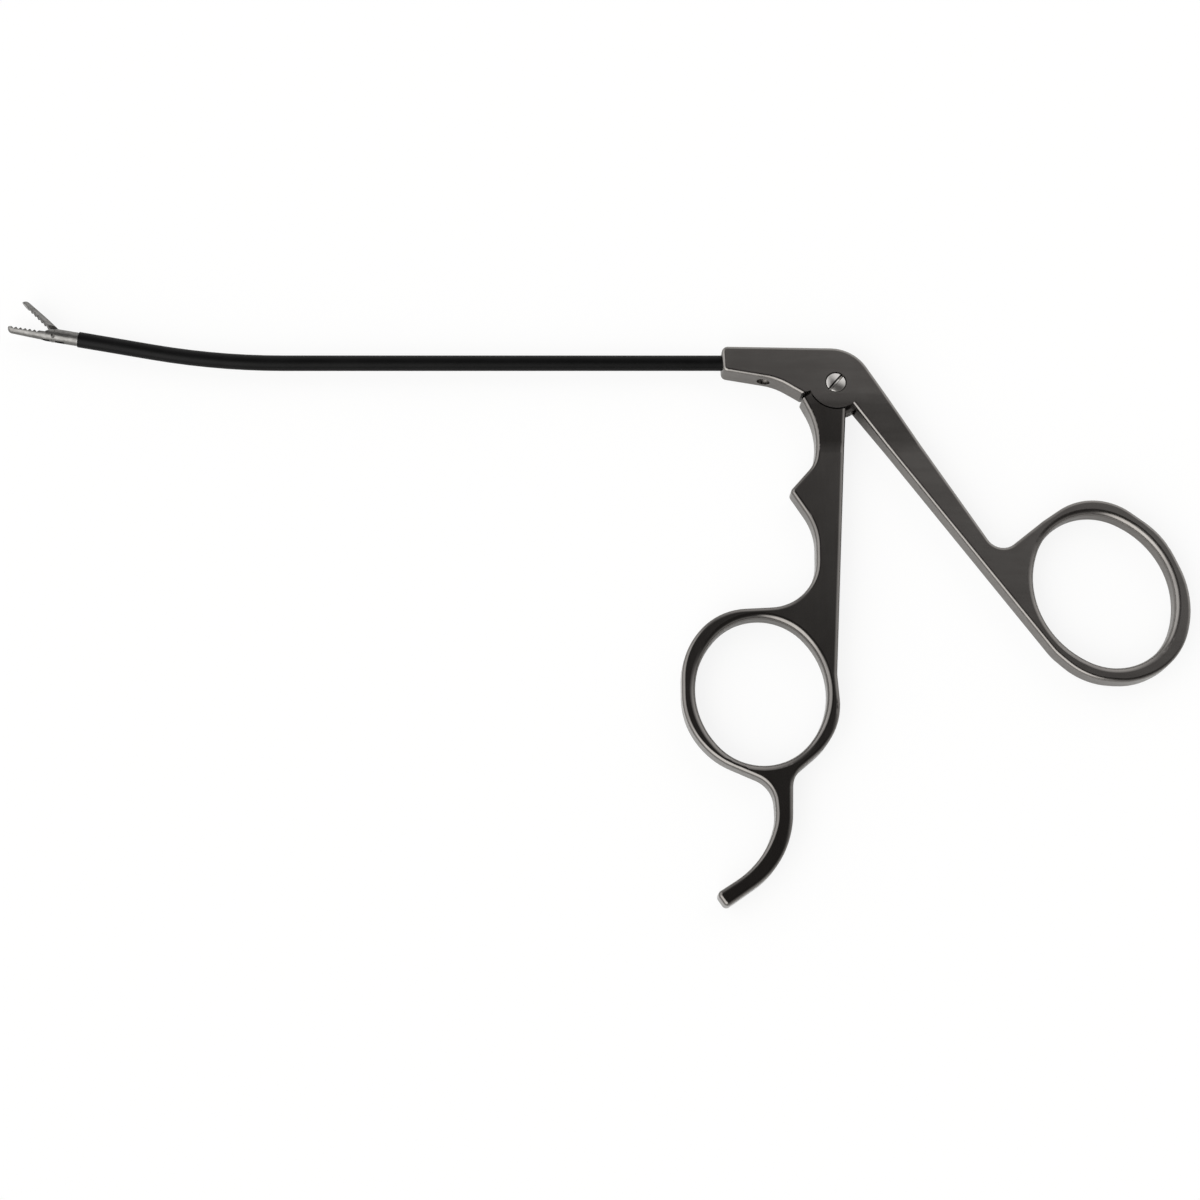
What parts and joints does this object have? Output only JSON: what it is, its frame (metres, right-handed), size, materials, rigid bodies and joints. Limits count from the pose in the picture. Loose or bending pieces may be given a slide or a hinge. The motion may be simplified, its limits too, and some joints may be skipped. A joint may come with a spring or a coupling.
{
  "type": "insulated forceps",
  "caption": "Slim grasping forceps with an insulated shaft bent near the tip, small serrated jaws and a two-ring handle that closes them.",
  "frame": {"origin": "on the handle's pivot axis, at the flat side of the handle that the forceps lie on", "axes": "+X from the jaws back to the thumb ring, +Y across the shaft towards its upper side, +Z out of the side that faces up"},
  "size_m": [0.213, 0.1127, 0.005],
  "materials": {
    "handle_steel": "satin",
    "trigger_steel": "satin",
    "screw_steel": "satin",
    "tube_steel": "satin",
    "drive_steel": "polished",
    "jaw_steel": "satin",
    "pin_steel": "polished",
    "insulation": "semi-matt"
  },
  "bodies": {
    "handle": {"handle_body": "handle_steel", "pivot_screw": "screw_steel", "shaft_set_screw": "screw_steel", "shaft_tube": "tube_steel", "insulation_sleeve": "insulation", "fixed_jaw": "jaw_steel", "jaw_pivot_pin": "pin_steel"},
    "trigger": {"finger_handle": "trigger_steel", "coupling_pin": "pin_steel"},
    "rod": {"drive_rod": "drive_steel", "drive_wire": "drive_steel"},
    "slider": {"jaw_slider": "jaw_steel", "jaw_drive_pin": "pin_steel"},
    "upper_jaw": {"moving_jaw": "jaw_steel"}
  },
  "joints": [
    {"name": "trigger_hinge", "type": "hinge", "parent": "handle", "child": "trigger", "pos_m": [0, 0, 0.0025], "axis": [0, 0, 1], "range_deg": [0, 8.25]},
    {"name": "rod_slide", "type": "slide", "parent": "handle", "child": "rod", "axis": [-1, 0, 0], "range_m": [0, 0.00069], "deforming": ["drive_wire"]},
    {"name": "jaw_drive_slide", "type": "slide", "parent": "handle", "child": "slider", "axis": [-0.9836, 0.1805, 0], "range_m": [0, 0.00069]},
    {"name": "jaw_hinge", "type": "hinge", "parent": "handle", "child": "upper_jaw", "pos_m": [-0.14257, 0.00963, 0.0025], "axis": [0, 0, 1], "range_deg": [0, 34.5]}
  ],
  "couplings": [
    {"joint": "rod_slide", "follows": "trigger_hinge", "m_per_rad": 0.0047321},
    {"joint": "jaw_drive_slide", "follows": "trigger_hinge", "m_per_rad": 0.0047321},
    {"joint": "jaw_hinge", "follows": "trigger_hinge", "ratio": 4.1778}
  ]
}
